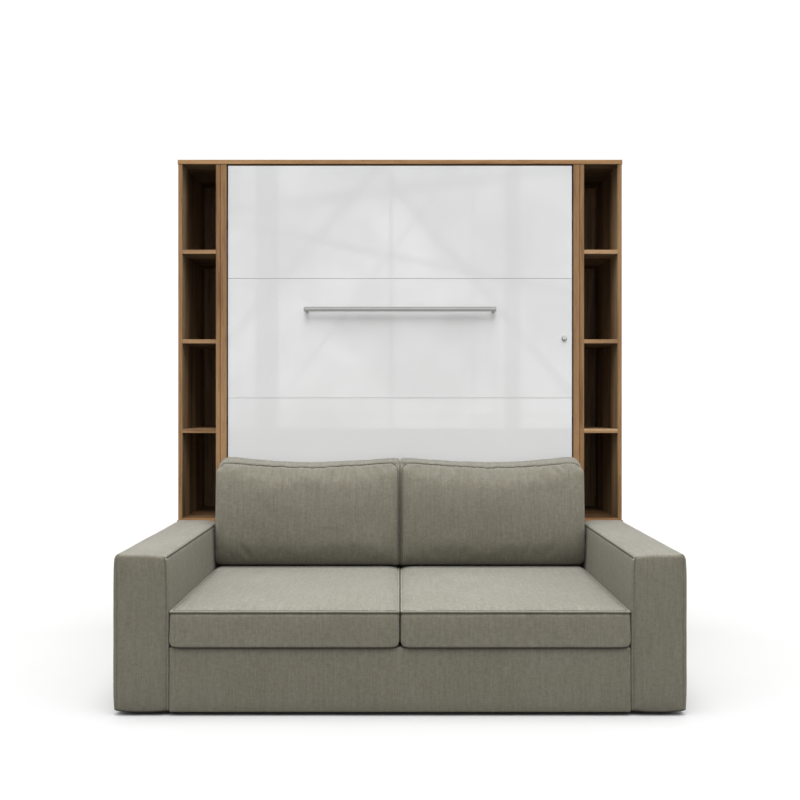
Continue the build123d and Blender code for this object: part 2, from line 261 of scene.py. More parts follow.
def linen(name="grey_linen", tone=1.0):
    """Plain woven linen: slubby vertical and horizontal threads on every side of the piece."""
    g = Graph(name)
    nrm = g.xyz(g.coord.outputs["Normal"])
    wx = g.math("POWER", g.math("ABSOLUTE", nrm[0]), 4.0)
    wz = g.math("POWER", g.math("ABSOLUTE", nrm[2]), 4.0)
    wy = g.math("POWER", g.math("ABSOLUTE", nrm[1]), 4.0)
    total = g.math("ADD", g.math("ADD", wx, wy), g.math("ADD", wz, 0.001))

    def threads(long_axis, cross_axis, thick, length, detail=3.0, loc=(0, 0, 0)):
        sc = [0.0, 0.0, 0.0]
        for i, a in enumerate("XYZ"):
            if a == long_axis:
                sc[i] = 1.0 / length
            elif a == cross_axis:
                sc[i] = 1.0 / thick
            else:
                sc[i] = 3.0
        return g.noise(g.mapped(tuple(sc), loc=loc), 1.0, detail, 0.62)

    def face(long_a, cross_a):
        warp = threads(long_a, cross_a, 0.0034, 0.034)
        weft = threads(cross_a, long_a, 0.0036, 0.026, loc=(5.0, 3.0, 1.0))
        slub = threads(long_a, cross_a, 0.0085, 0.150, 2.0, loc=(1.0, 7.0, 2.0))
        finew = threads(long_a, cross_a, 0.0013, 0.010, 2.0, loc=(2.0, 2.0, 9.0))
        finef = threads(cross_a, long_a, 0.0013, 0.010, 2.0, loc=(8.0, 1.0, 3.0))
        shade = g.math("ADD", g.math("MULTIPLY", warp, 0.25), g.math("MULTIPLY", weft, 0.21))
        shade = g.math("ADD", shade, g.math("MULTIPLY", slub, 0.17))
        shade = g.math("ADD", shade, g.math("MULTIPLY", g.math("ADD", finew, finef), 0.08))
        height = g.math("ADD", g.math("ADD", finew, finef), g.math("MULTIPLY", g.math("ADD", warp, weft), 0.5))
        return shade, height

    fy = face("Z", "X")
    fx = face("Z", "Y")
    fz = face("Y", "X")

    def blend3(i):
        s = g.math("ADD", g.math("MULTIPLY", fx[i], wx),
                   g.math("ADD", g.math("MULTIPLY", fy[i], wy), g.math("MULTIPLY", fz[i], wz)))
        return g.math("DIVIDE", s, total)

    shade, height = blend3(0), blend3(1)
    cloudy = g.noise(g.mapped((1, 1, 1), loc=(4.0, 2.0, 6.0)), 3.5, 3.0, 0.5)
    fleck = g.noise(g.mapped((1, 1, 1), loc=(9.0, 4.0, 1.0)), 85.0, 3.0, 0.6)
    shade = g.math("ADD", shade, g.math("MULTIPLY", g.math("SUBTRACT", cloudy, 0.5), 0.10))
    shade = g.math("ADD", shade, g.math("MULTIPLY", fleck, 0.20))
    a = tuple(tone * c for c in (0.095, 0.087, 0.065))
    b = tuple(tone * c for c in (0.132, 0.123, 0.096))
    c = tuple(tone * c for c in (0.181, 0.171, 0.143))
    col = g.ramp(shade, [(0.33, a), (0.50, b), (0.67, c)])
    painted_sheen_level = g.math("DIVIDE", wz, total)         # painted sheen: level faces are lighter and bluer
    # painted light: faces turned sideways are a tenth lighter
    painted_light_sides = g.mix(g.math("DIVIDE", wx, total), (1.0, 1.0, 1.0), (1.10, 1.10, 1.10))
    g.color(g.mix(1.0, col, g.mix(painted_sheen_level, painted_light_sides, (1.08, 1.11, 1.21)), "MULTIPLY"))
    g.set("Roughness", 0.92)
    g.set("Specular IOR Level", 0.18)
    g.set("Sheen Weight", 0.08)
    g.set("Sheen Roughness", 0.45)
    g.set("Sheen Tint", (0.90, 0.90, 0.86, 1.0))
    g.normal(g.bump(height, 0.35, 0.0012))
    return g.mat


def metal(name, color, rough, brushed=None, metallic=1.0):
    g = Graph(name)
    sc = {"X": (4.0, 900.0, 900.0), "Z": (900.0, 900.0, 4.0), None: (160.0, 160.0, 160.0)}[brushed]
    n = g.noise(g.mapped(sc), 1.0, 3.0, 0.6)
    big = g.noise(g.mapped((1, 1, 1)), 9.0, 2.0, 0.5)
    lo = tuple(c * 0.86 for c in color)
    g.color(g.ramp(g.math("MULTIPLY_ADD", n, 0.7, g.math("MULTIPLY", big, 0.3)), [(0.3, lo), (0.7, color)]))
    g.set("Metallic", metallic)
    rr = g.smooth(n, 0.3, 0.7, rough * 0.85, rough * 1.15)
    g.link(rr, g.bsdf.inputs["Roughness"])
    g.normal(g.bump(n, 0.06, 0.0003))
    return g.mat


def plain(name, color, rough, scale=220.0, bump=0.15, var=0.12, metallic=0.0):
    g = Graph(name)
    n = g.noise(g.mapped((1, 1, 1)), scale, 3.0, 0.6)
    big = g.noise(g.mapped((1, 1, 1)), 7.0, 3.0, 0.5)
    lo = tuple(c * (1 - var) for c in color)
    g.color(g.ramp(g.math("MULTIPLY_ADD", n, 0.5, g.math("MULTIPLY", big, 0.5)), [(0.35, lo), (0.65, color)]))
    g.set("Roughness", rough)
    g.set("Metallic", metallic)
    g.normal(g.bump(n, bump, 0.0005))
    return g.mat


def timber():
    g = Graph("planed_timber")
    n = g.noise(g.mapped((18.0, 18.0, 2.0)), 2.0, 6.0, 0.65, 0.5)
    k = g.noise(g.mapped((1, 1, 1)), 5.0, 2.0, 0.5)
    col = g.ramp(g.math("MULTIPLY_ADD", n, 0.7, g.math("MULTIPLY", k, 0.3)),
                 [(0.35, (0.40, 0.27, 0.15)), (0.62, (0.60, 0.45, 0.29))])
    g.color(col)
    g.set("Roughness", 0.6)
    g.normal(g.bump(n, 0.15, 0.0005))
    return g.mat


def webbing():
    g = Graph("woven_webbing")
    w = g.n("ShaderNodeTexWave", wave_type="BANDS", bands_direction="DIAGONAL")
    w.inputs["Scale"].default_value = 90.0
    w.inputs["Distortion"].default_value = 0.4
    g.link(g.coord.outputs["Object"], w.inputs["Vector"])
    g.color(g.ramp(w.outputs["Fac"], [(0.2, (0.020, 0.020, 0.022)), (0.8, (0.050, 0.050, 0.054))]))
    g.set("Roughness", 0.85)
    g.normal(g.bump(w.outputs["Fac"], 0.5, 0.0006))
    return g.mat


def ticking():
    g = Graph("mattress_ticking")
    vor = g.n("ShaderNodeTexVoronoi")
    vor.inputs["Scale"].default_value = 260.0
    g.link(g.coord.outputs["Object"], vor.inputs["Vector"])
    n = g.noise(g.mapped((1, 1, 1)), 4.0, 3.0, 0.5)
    col = g.ramp(g.math("MULTIPLY_ADD", vor.outputs["Distance"], 0.4, g.math("MULTIPLY", n, 0.6)),
                 [(0.25, (0.27, 0.266, 0.253)), (0.65, (0.34, 0.337, 0.324))])
    g.color(col)
    g.set("Roughness", 0.9)
    g.set("Sheen Weight", 0.05)
    g.normal(g.bump(vor.outputs["Distance"], 0.35, 0.0008))
    return g.mat


# the fourth value of each oak sets how dark its painted shade inside the bookcases is; the fifth tints that painted
# shade
M = {
    "oak_x": oak("oak_lengthwise", "X", (1.17, 1.12, 1.03), 0.50),
    "oak_shelf": oak("oak_shelf", "X", (1.23, 1.26, 1.32), 0.75),
    "oak_base": oak("oak_base", "X", (1.15, 1.10, 1.01), 0.40, (0.92, 0.80, 0.72)),
    "oak_z": oak("oak_upright", "Z", (0.89, 0.855, 0.80), 0.90),
    "oak_bed": oak("oak_bed_side", "Z", (0.97, 0.935, 0.88), 0.90),
    "oak_back": oak("oak_back_painted_shade", "Z"),
    "timber": timber(),
    "white": gloss_white(),
    "linen": linen(),
    # darker copies of the linen for the seam, stitch and thread tubes: painted shade in the seam grooves
    "seam": linen("grey_linen_seam_painted_shade", 0.30),
    "stitch": linen("grey_linen_stitch_painted_shade", 0.52),
    "thread": linen("grey_linen_thread_painted_shade", 0.70),
    "satin": metal("satin_steel", (0.53, 0.53, 0.525), 0.34, "X", 0.65),
    # darker and paler copies of the satin steel for the lock: painted shade on the ring, painted highlight on the knob
    "satin_painted_shade": metal("satin_steel_ring", (0.40, 0.40, 0.395), 0.34, None, 0.6),
    "satin_painted_highlight": metal("satin_steel_knob", (0.74, 0.74, 0.73), 0.34, None, 0.4),
    "zinc": metal("zinc_steel", (0.55, 0.56, 0.58), 0.36, None),
    "chrome": metal("chromed_rod", (0.80, 0.80, 0.82), 0.10, "Z"),
    "brass": metal("turned_brass", (0.70, 0.52, 0.24), 0.28, None),
    "grey_steel": plain("grey_powder_coat", (0.30, 0.30, 0.31), 0.45, 420.0, 0.2),
    "black_steel": plain("black_paint", (0.020, 0.020, 0.021), 0.35, 300.0, 0.1),
    "rubber": plain("black_rubber", (0.022, 0.022, 0.022), 0.8, 260.0, 0.25),
    "black_plastic": plain("black_plastic", (0.020, 0.020, 0.020), 0.5, 340.0, 0.2),
    "webbing": webbing(),
    "ticking": ticking(),
}

assign = {"top_board": "oak_x", "bookcase_shelves": "oak_shelf", "bookcase_base_boards": "oak_base",
          "cabinet_plinth": "oak_x", "bookcase_backs": "oak_back",
          "upper_wall_rail": "timber", "lower_wall_rail": "timber", "arm_frames": "timber", "front_rail": "linen",
          "rear_rail": "timber", "bed_side_rails": "timber", "bed_foot_rail": "timber", "bed_head_rail": "timber",
          "bed_centre_beam": "timber", "bed_slats": "timber",
          "pivot_plates": "zinc", "pivot_pins": "zinc", "gas_spring_anchors": "zinc", "lock_strike": "zinc",
          "pivot_brackets": "zinc", "leg_brackets": "zinc", "lock_cam": "zinc",
          "closing_buffers": "rubber", "sofa_feet": "black_plastic", "seat_webbing": "webbing",
          "pivot_bushes": "brass", "handle_bar": "satin", "handle_posts": "satin", "lock_escutcheon": "satin_painted_shade",
          "lock_knob": "satin_painted_highlight"}
for s in ("left", "right"):
    for k in ("outer_side", "inner_side"):
        assign["bookcase_%s_%s" % (s, k)] = "oak_z"
    assign["bed_cabinet_%s_side" % s] = "oak_bed"
    assign[s + "_support_leg"] = "grey_steel"
    assign[s + "_leg_foot"] = "rubber"
    assign[s + "_gas_cylinder"] = "black_steel"
    assign[s + "_gas_rod"] = "chrome"
assign["bookcase_lower_fronts"] = "oak_z"
for i in range(1, 5):
    assign["front_board_%d" % i] = "white"
for name, key in assign.items():
    for sl in nodes[name].material_slots:
        sl.material = M[key]


# ---------------------------------------------------------------------------
# soft pieces: mesh builders
# ---------------------------------------------------------------------------
def spread(half, r, step, fine=(0.0, 0.07, 0.16, 0.29, 0.46, 0.70, 1.0)):
    """Lattice positions from -half to half, finer near both ends."""
    r = min(r, half * 0.8)
    ends = [f * r for f in fine]
    inner = 2 * (half - r)
    n = max(2, int(round(inner / step)))
    left = [-half + e for e in ends]
    mid = [-half + r + inner * i / n for i in range(1, n)]
    right = [half - e for e in reversed(ends)]
    return np.array(left + mid + right)


class Pad:
    """A closed padded box on a lattice. Its seam ring is the edge of the face at w = 0.

    Coordinates are local: u across, v up, w outwards through the seamed face; the depth t runs
    from the seam (0) to the back (T). e is the distance from the nearest side."""

    def __init__(self, hu, hv, T, R, rf, rb, step, steps_t, fine_t=(0.0, 0.0025, 0.006, 0.011),
                 fine=(0.0, 0.07, 0.16, 0.29, 0.46, 0.70, 1.0), R_low=None):
        self.hu, self.hv, self.T = hu, hv, T
        us = spread(hu, R, step, fine)
        vs = spread(hv, R, step, fine)
        rbm = rb if not callable(rb) else 0.024
        ts = [x for x in fine_t if x < T - rbm]
        t0, t1 = ts[-1], T - rbm
        n = max(1, int(round((t1 - t0) / steps_t)))
        ts += [t0 + (t1 - t0) * i / n for i in range(1, n + 1)]
        ts += [T - 0.62 * rbm, T - 0.3 * rbm, T]
        ts = np.array(ts)
        nu, nv, nt = len(us), len(vs), len(ts)
        index, lat = {}, []

        def vid(i, j, k):
            key = (i, j, k)
            if key not in index:
                index[key] = len(lat)
                lat.append((us[i], vs[j], ts[k]))
            return index[key]

        faces = []
        for i in range(nu - 1):
            for j in range(nv - 1):
                faces.append((vid(i, j, 0), vid(i + 1, j, 0), vid(i + 1, j + 1, 0), vid(i, j + 1, 0)))
                faces.append((vid(i, j, nt - 1), vid(i, j + 1, nt - 1), vid(i + 1, j + 1, nt - 1), vid(i + 1, j, nt - 1)))
        for k in range(nt - 1):
            for i in range(nu - 1):
                faces.append((vid(i, 0, k), vid(i, 0, k + 1), vid(i + 1, 0, k + 1), vid(i + 1, 0, k)))
                faces.append((vid(i, nv - 1, k), vid(i + 1, nv - 1, k), vid(i + 1, nv - 1, k + 1), vid(i, nv - 1, k + 1)))
            for j in range(nv - 1):
                faces.append((vid(0, j, k), vid(0, j + 1, k), vid(0, j + 1, k + 1), vid(0, j, k + 1)))
                faces.append((vid(nu - 1, j, k), vid(nu - 1, j, k + 1), vid(nu - 1, j + 1, k + 1), vid(nu - 1, j + 1, k)))
        self.faces = faces

        def ring(k):
            loop = [vid(i, 0, k) for i in range(nu - 1)]
            loop += [vid(nu - 1, j, k) for j in range(nv - 1)]
            loop += [vid(i, nv - 1, k) for i in range(nu - 1, 0, -1)]
            loop += [vid(0, j, k) for j in range(nv - 1, 0, -1)]
            return loop

        self.front_ring = ring(0)
        self.back_ring = ring(nt - 1)
        self.lat = np.array(lat)
        u, v, t = self.lat[:, 0], self.lat[:, 1], self.lat[:, 2]
        R = np.where(v < 0, R if R_low is None else R_low, R)
        qu = np.clip(u, -(hu - R), hu - R)
        qv = np.clip(v, -(hv - R), hv - R)
        du, dv = u - qu, v - qv
        mx = np.maximum(np.abs(du), np.abs(dv))
        ln = np.hypot(du, dv)
        sc = np.where(ln > 1e-9, mx / np.maximum(ln, 1e-9), 1.0)
        pu, pv = qu + du * sc, qv + dv * sc
        e = np.minimum(hu - np.abs(u), hv - np.abs(v))
        corner = (np.abs(du) > 1e-9) & (np.abs(dv) > 1e-9)
        nu_ = np.where(corner, du / np.maximum(ln, 1e-9),
                       np.where(hu - np.abs(u) < hv - np.abs(v), np.sign(u), 0.0))
        nv_ = np.where(corner, dv / np.maximum(ln, 1e-9),
                       np.where(hu - np.abs(u) < hv - np.abs(v), 0.0, np.sign(v)))
        self.n2 = np.stack([nu_, nv_], 1)
        rbv = rb(nu_, nv_) if callable(rb) else np.full(len(u), rb)
        e2, t2 = e.copy(), t.copy()
        if rf > 0:
            m = (e < rf) & (t < rf)
            de, dt = e - rf, t - rf
            k = rf / np.maximum(np.hypot(de, dt), 1e-9)
            e2[m] = (rf + de * k)[m]
            t2[m] = (rf + dt * k)[m]
        tb = T - t
        m = (e < rbm) & (tb < rbm)
        f = rbv / rbm
        de, dt = e * f - rbv, tb * f - rbv
        k = rbv / np.maximum(np.hypot(de, dt), 1e-9)
        e2[m] = (rbv + de * k)[m] + (e - e * f)[m]
        t2[m] = (T - (rbv + dt * k))[m]
        self.e, self.t = e, t
        self.P = np.stack([pu + nu_ * (e - e2), pv + nv_ * (e - e2), -t2], 1)
        self.U, self.V, self.W = u / hu, v / hv, t / T

    def world(self, centre, au, av, aw):
        c = np.array(centre)
        return c + self.P[:, :1] * np.array(au) + self.P[:, 1:2] * np.array(av) + self.P[:, 2:3] * np.array(aw)


def tube(points, radius, closed=True, seg=8):
    """A round tube along points, with frames carried along it."""
    P = np.array(points)
    n = len(P)
    T = (np.roll(P, -1, 0) - np.roll(P, 1, 0)) if closed else np.gradient(P, axis=0)
    T /= np.linalg.norm(T, axis=1)[:, None]
    a = np.array([0.0, 0.0, 1.0]) if abs(T[0][2]) < 0.9 else np.array([1.0, 0.0, 0.0])
    N = a - T[0] * np.dot(a, T[0])
    N /= np.linalg.norm(N)
    verts, faces, frames = [], [], []
    for i in range(n):
        N = N - T[i] * np.dot(N, T[i])
        N /= np.linalg.norm(N)
        frames.append((N.copy(), np.cross(T[i], N)))
    for i in range(n):
        A, B = frames[i]
        for k in range(seg):
            w = 2 * math.pi * k / seg
            verts.append(P[i] + radius * (math.cos(w) * A + math.sin(w) * B))
    m = n if closed else n - 1
    for i in range(m):
        j = (i + 1) % n
        off = 0
        if closed and j == 0:
            A0 = frames[0][0]
            A = frames[-1][0]
            A = A - T[0] * np.dot(A, T[0])
            A /= np.linalg.norm(A)
            ang = math.atan2(np.dot(np.cross(A0, A), T[0]), np.dot(A0, A))
            off = int(round(ang / (2 * math.pi) * seg))
        for k in range(seg):
            k2 = (k + 1) % seg
            faces.append((i * seg + k, i * seg + k2, j * seg + (k2 + off) % seg, j * seg + (k + off) % seg))
    if not closed:
        for end, rev in ((0, True), (n - 1, False)):
            f = [end * seg + k for k in range(seg)]
            faces.append(tuple(reversed(f)) if rev else tuple(f))
    return verts, faces


def resample(points, step, closed=True):
    P = np.array(points)
    if closed:
        P = np.vstack([P, P[:1]])
    d = np.linalg.norm(np.diff(P, axis=0), axis=1)
    s = np.concatenate([[0], np.cumsum(d)])
    n = max(8, int(s[-1] / step))
    q = np.linspace(0, s[-1], n, endpoint=not closed)
    return np.stack([np.interp(q, s, P[:, i]) for i in range(3)], 1)


def relax(P, rounds=2, closed=True):
    """Smooth a line of points a little."""
    for _ in range(rounds):
        if closed:
            P = 0.5 * P + 0.25 * (np.roll(P, 1, 0) + np.roll(P, -1, 0))
        else:
            P[1:-1] = 0.5 * P[1:-1] + 0.25 * (P[:-2] + P[2:])
    return P


def n1(x, seed):
    """Smooth noise on a line, about -1 to 1."""
    return noise.noise(Vector((float(x), seed * 13.7, 5.1)))


def n3(p, s, seed):
    return noise.noise(Vector((p[0] * s + seed * 7.3, p[1] * s + 3.1, p[2] * s - seed)))


def rounded(u, v, hu, hv, R):
    """Points of a lattice moved so that its corners become arcs of radius R."""
    qu, qv = np.clip(u, -(hu - R), hu - R), np.clip(v, -(hv - R), hv - R)
    du, dv = u - qu, v - qv
    ln = np.hypot(du, dv)
    sc = np.where(ln > 1e-9, np.maximum(np.abs(du), np.abs(dv)) / np.maximum(ln, 1e-9), 1.0)
    return qu + du * sc, qv + dv * sc


def gauss(x, s):
    return np.exp(-(x / s) ** 2)


def rise(e, L, full):
    """0 at a seam, 1 at the distance full, quick at first."""
    x = np.clip(e, 0, full)
    return (1 - np.exp(-x / L)) / (1 - math.exp(-full / L))


def simulate(ob, held, pressure, spare, cap, bend=0.4, frames=20, allow=None):
    """Blow a closed cushion up as cloth for a few frames, with its seams held, and keep the result.

    held: vertex -> weight. spare: how much more cloth than shape there is. cap: most a point may move.
    allow: per-vertex factor on that movement."""
    me = ob.data
    n = len(me.vertices)
    before = np.empty(n * 3)
    me.vertices.foreach_get("co", before)
    before = before.reshape(-1, 3)
    grp = ob.vertex_groups.new(name="held")
    for i, w in held.items():
        grp.add([int(i)], float(w), "REPLACE")
    mod = ob.modifiers.new("cloth", "CLOTH")
    st = mod.settings
    st.quality = 6
    st.mass = 0.25
    st.air_damping = 4.0
    st.tension_stiffness = 22.0
    st.compression_stiffness = 18.0
    st.shear_stiffness = 6.0
    st.bending_stiffness = bend
    st.tension_damping = 12.0
    st.compression_damping = 12.0
    st.bending_damping = 1.0
    st.use_pressure = True
    st.uniform_pressure_force = pressure
    st.shrink_min = -spare
    st.effector_weights.gravity = 0.0
    st.vertex_group_mass = "held"
    st.pin_stiffness = 1.0
    mod.point_cache.frame_start = 1
    mod.point_cache.frame_end = frames
    for f in range(1, frames + 1):
        scene.frame_set(f)
    dg = bpy.context.evaluated_depsgraph_get()
    ev = ob.evaluated_get(dg).to_mesh()
    after = np.empty(n * 3)
    ev.vertices.foreach_get("co", after)
    after = after.reshape(-1, 3).copy()
    ob.evaluated_get(dg).to_mesh_clear()
    ob.modifiers.remove(mod)
    ob.vertex_groups.remove(grp)
    scene.frame_set(1)
    d = after - before
    d[~np.isfinite(d)] = 0.0
    ln = np.linalg.norm(d, axis=1)
    k = cap * np.tanh(ln / cap) / np.maximum(ln, 1e-9)
    if allow is not None:
        k = k * allow
    me.vertices.foreach_set("co", (before + d * k[:, None]).ravel())
    me.update()
    print("SIM", ob.name, n, "moved mean %.4f max %.4f" % (ln.mean(), ln.max()))


def coords(ob):
    c = np.empty(len(ob.data.vertices) * 3)
    ob.data.vertices.foreach_get("co", c)
    return c.reshape(-1, 3)


def set_coords(ob, c):
    ob.data.vertices.foreach_set("co", np.ascontiguousarray(c).ravel())
    ob.data.update()


def subdivide(ob):
    m = ob.modifiers.new("smooth", "SUBSURF")
    m.levels = 1
    m.render_levels = 1
    m.boundary_smooth = "PRESERVE_CORNERS"


# ---------------------------------------------------------------------------
# back cushions: a box cushion, fullest low down, whose front rises from a plain seam
# ---------------------------------------------------------------------------
def back_cushion(side):
    sx = -1 if side == "left" else 1
    lo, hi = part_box(side + "_back_cushion")
    lo = (lo[0], lo[1], lo[2] - 0.0040)          # it sinks a little into the seat
    x_in, x_out = 0.0090, 0.8000
    hu, hv = (x_out - x_in) / 2, (hi[2] - lo[2]) / 2 - 0.0006
    depth = hi[1] - lo[1]
    FULL = 0.078                       # how far the front stands out in front of its seam
    T = depth - FULL - 0.002
    pad = Pad(hu, hv, T, 0.038, 0.0, 0.026, 0.0095, 0.0105, fine=(0.0, 0.06, 0.15, 0.27, 0.41, 0.58, 0.78, 1.0), R_low=0.006)
    P, U, V = pad.P, pad.U, pad.V
    u, v, t = pad.lat[:, 0], pad.lat[:, 1], pad.lat[:, 2]
    s = -U * sx                        # +1 at the edge by the middle of the sofa
    n2 = pad.n2
    # behind its seam the inner top corner is squarer, up against the other cushion
    ru, rv = rounded(u, v, hu, hv, 0.038)
    qu, qv = rounded(u, v, hu, hv, 0.013)
    sq = np.clip(t / 0.016, 0, 1)
    sq = np.where((s > 0) & (v > 0), sq * sq * (3 - 2 * sq), 0.0)
    P[:, 0] += sq * (qu - ru)
    P[:, 1] += sq * (qv - rv)
    # the top line sags between the corners
    sag = 0.0160 - 0.0205 * np.clip(s, 0, 1) ** 1.6 - 0.0310 * np.clip(-s, 0, 1) ** 1.7
    sag = np.maximum(sag, -0.0070)
    up = np.clip((V + 0.1) / 1.1, 0, 1) ** 2.5
    fall = 0.0135 + 0.0075 * np.clip(-s, 0, 1) + 0.0030 * gauss(s, 0.28)
    fwd = fall * np.clip(1 - t / 0.085, 0, 1) ** 1.2             # and falls towards the front seam
    P[:, 1] -= up * (sag + fwd * np.clip(V, 0, 1))
    # low down the seam lies further forward, on the seat
    topd, botd, sided = hv - v, hv + v, hu - np.abs(u)
    front = t < 1e-9
    ringw = 0.022 * np.clip(1 - botd / 0.13, 0, 1) ** 1.4
    # front: a long rise from the top seam, full right up to the sides
    LB = 0.042
    q = np.clip(sided / LB, 0, 1)
    outer = s < 0
    q1, q2 = np.clip(q / 0.28, 0, 1), np.clip((q - 0.28) / 0.72, 0, 1)
    w_out = 0.42 * np.sin(0.5 * np.pi * q1) ** 1.3 + 0.58 * np.sin(0.5 * np.pi * q2)
    x_outer = 0.0066 * np.sin(0.5 * np.pi * q1) - (LB + 0.0066) * (1 - np.cos(0.5 * np.pi * q2))
    w_inn = 1 - (1 - q) ** 4.5
    x_inner = 0.0030 * np.sin(np.pi * np.clip(q / 0.30, 0, 1)) - LB * q ** 1.15
    h_side = np.where(outer, w_out, w_inn) * (0.965 + 0.035 * rise(sided, 0.09, 0.30))
    x_side = np.where(outer, x_outer, x_inner)
    h_top = (0.006 * (1 - np.exp(-topd / 0.014)) + 0.025 * (1 - np.exp(-topd / 0.050))
             + 0.047 * (1 - (1 - np.clip(topd / 0.35, 0, 1)) ** 2)) / 0.078
    h_low = 1 - 0.54 * np.exp(-botd / 0.038)
    # where the two cushions lean on each other their boxing comes forward with the front
    k = np.clip(sided / 0.10, 0, 1)
    lean = np.where(s > 0, 1 - k * k * (3 - 2 * k), 0.0) * np.clip(topd / 0.03, 0, 1)
    ringw = ringw + 0.66 * lean * np.maximum(FULL * h_top * h_low - ringw, 0.0)
    P[:, 2] += ringw * np.clip(1 - t / T, 0, 1)
    full = FULL * h_top * h_low - ringw
    P[:, 2] += np.where(front, full * h_side * (1 - np.exp(-botd / 0.0012)), 0.0)
    away = np.where(front, 1.0, 0.0) * np.clip(topd / 0.045, 0, 1) * np.clip(botd / 0.020, 0, 1)
    P[:, 0] += np.sign(U) * away * (x_side + np.minimum(sided, LB))
    # the back is a little full too
    back = t > T - 1e-9
    crown = (1 - np.abs(U) ** 4) * (1 - np.abs(V) ** 4)
    P[:, 2] -= 0.0015 * np.where(back, crown, 0.0)
    # boxing between the two seams bulges, the bottom stays on the seat
    rim = np.clip(1 - pad.e / 0.05, 0, 1)
    bulge = np.sin(np.pi * np.clip(t / T, 0, 1)) ** 0.7
    early = (1 - np.exp(-t / 0.0040)) * (1 - 0.6 * np.clip((t / T - 0.5) / 0.5, 0, 1) ** 2)
    side_out = np.where(s > 0, 0.0098 * early, 0.0046 * bulge)
    P[:, 0] += np.sign(U) * np.abs(n2[:, 0]) * rim * side_out
    P[:, 1] += np.clip(n2[:, 1], 0, 1) * rim * 0.0050 * bulge
    cx, cz = sx * (x_in + x_out) / 2, (lo[2] + hi[2]) / 2
    yw = lo[1] + FULL + 0.001
    # small puckers that run off the top seam
    seed = 3 if side == "left" else 9
    for i in range(len(P)):
        near = max(0.0, 1 - topd[i] / 0.13)
        d_seam = math.hypot(min(topd[i], 0.2), t[i])
        if near <= 0 and not front[i]:
            continue
        mid = math.exp(-((u[i] - sx * 0.02) / 0.19) ** 2)
        w = n1(u[i] * 23.0, seed) + 0.7 * n1(u[i] * 55.0, seed + 1)
        k = math.exp(-d_seam / 0.030) * (0.30 + 0.70 * mid) * near
        P[i, 1] += 0.0046 * k * w
        if front[i]:
            P[i, 2] += 0.0050 * k * w * min(1.0, topd[i] / 0.008)
            f = min(1.0, sided[i] / 0.05, botd[i] / 0.06)
            P[i, 2] += f * (0.0030 * n3((u[i], v[i], 0), 5.5, seed) + 0.0014 * n3((u[i], v[i], 0), 13.0, seed + 2))
    world = pad.world((cx, yw, cz), (1, 0, 0), (0, 0, 1), (0, -1, 0))
    ob = add_mesh(side + "_back_upholstery", world, pad.faces, M["linen"])
    held = {i: 1.0 for i in pad.front_ring}
    held.update({i: 0.9 for i in pad.back_ring})
    for i in np.nonzero(botd < 0.03)[0]:
        held[int(i)] = 1.0
    soft = np.clip(botd / 0.10, 0, 1) * np.clip(sided / 0.06, 0, 1) * np.where(front, 1.0, 0.25)
    simulate(ob, held, 3.0, 0.035, 0.006, bend=0.25, allow=soft)
    c = coords(ob)
    # the stitched seam lies in a groove
    d = np.hypot(np.minimum(pad.e, 0.05), t)
    pull = gauss(d, 0.0050)
    nrm = np.stack([n2[:, 0], np.zeros(len(P)), n2[:, 1]], 1)
    # (shallow where the two cushions lean on each other)
    calm = np.clip(1 - (hu + u * sx) / 0.03, 0, 1) * np.clip(topd / 0.05, 0, 1)
    c += nrm * (-(0.0046 - 0.0034 * calm) * pull)[:, None]
    c[:, 1] += (0.0040 - 0.0026 * calm) * pull
    # keep clear of the seat, the arms and the other cushion
    c[:, 2] = np.maximum(c[:, 2], lo[2] + 0.0002)
    low = np.clip((0.585 - c[:, 2]) / 0.02, 0, 1)
    ax = np.clip(np.abs(c[:, 0]), 0.0002, 0.8078 - 0.0006 * low)
    c[:, 0] = np.sign(cx) * ax
    c[:, 1] = np.clip(c[:, 1], lo[1] - 0.004, hi[1] - 0.0006)
    set_coords(ob, c)
    ring = relax(resample(c[pad.front_ring], 0.005), 2)
    sunk = np.clip((0.030 - np.abs(ring[:, 0])) / 0.012, 0, 1) * np.clip((hi[2] - 0.045 - ring[:, 2]) / 0.03, 0, 1)
    ring[:, 1] += 0.0013 * sunk
    # the seam tube is a darker copy of the linen: painted shade in the groove
    v2, f2 = tube(ring + np.array([0, -0.0004, 0.0002]), 0.0020, seg=8)
    pipe = add_mesh(side + "_back_seam", v2, f2, M["seam"])
    subdivide(ob)
    return ob, pipe


